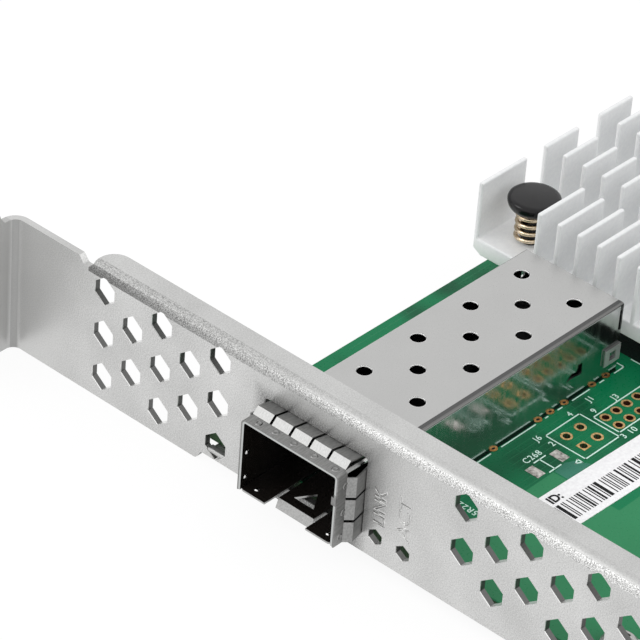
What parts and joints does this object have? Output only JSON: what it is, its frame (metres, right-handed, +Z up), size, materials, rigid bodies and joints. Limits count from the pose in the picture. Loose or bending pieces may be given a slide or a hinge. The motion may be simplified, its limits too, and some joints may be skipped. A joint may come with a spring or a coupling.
{
  "type": "network interface card",
  "caption": "Low-profile server network card with a full-height vented bracket, a pluggable optics cage, a cross-cut heat sink and an edge connector",
  "frame": {"origin": "middle of the bounding box in plan, at its lowest point, which is the bracket's lower long edge with the card lying flat, component side up", "axes": "+X from the bracket into the card, +Y along the bracket towards its screw tab, +Z up out of the board's component side"},
  "size_m": [0.1534, 0.12, 0.0216],
  "materials": {
    "bracket_steel": "satin",
    "screw_steel": "satin",
    "solder_mask": "satin",
    "gold_plate": "polished",
    "cage_steel": "satin",
    "cage_floor_steel": "satin",
    "spring_steel": "polished",
    "connector_black": "matte",
    "contact_tin": "satin",
    "sink_aluminium": "satin",
    "pin_nylon": "gloss",
    "coil_steel": "polished",
    "package_black": "matte",
    "silicone_grey": "matte",
    "label_paper": "matte",
    "lamp_resin": "gloss",
    "ferrite_grey": "matte",
    "polymer_black": "satin",
    "crystal_metal": "polished",
    "ceramic_tan": "satin",
    "resistor_black": "satin"
  },
  "bodies": {
    "root": {"bracket": "bracket_steel", "circuit_board": "solder_mask", "edge_contacts": "gold_plate", "cage_cover": "cage_steel", "cage_floor": "cage_floor_steel", "cage_spring_band": "spring_steel", "port_connector": "connector_black", "port_contacts": "contact_tin", "heat_sink": "sink_aluminium", "push_pins": "pin_nylon", "push_pin_springs": "coil_steel", "controller_chip": "package_black", "thermal_pad": "silicone_grey", "bracket_screws": "screw_steel", "paper_label": "label_paper", "status_lamps": "lamp_resin", "power_inductors": "ferrite_grey", "polymer_capacitors": "polymer_black", "regulator_chips": "package_black", "power_transistors": "package_black", "management_chip": "package_black", "memory_chip": "package_black", "clock_crystal": "crystal_metal", "chip_capacitors": "ceramic_tan", "chip_resistors": "resistor_black"}
  },
  "joints": []
}
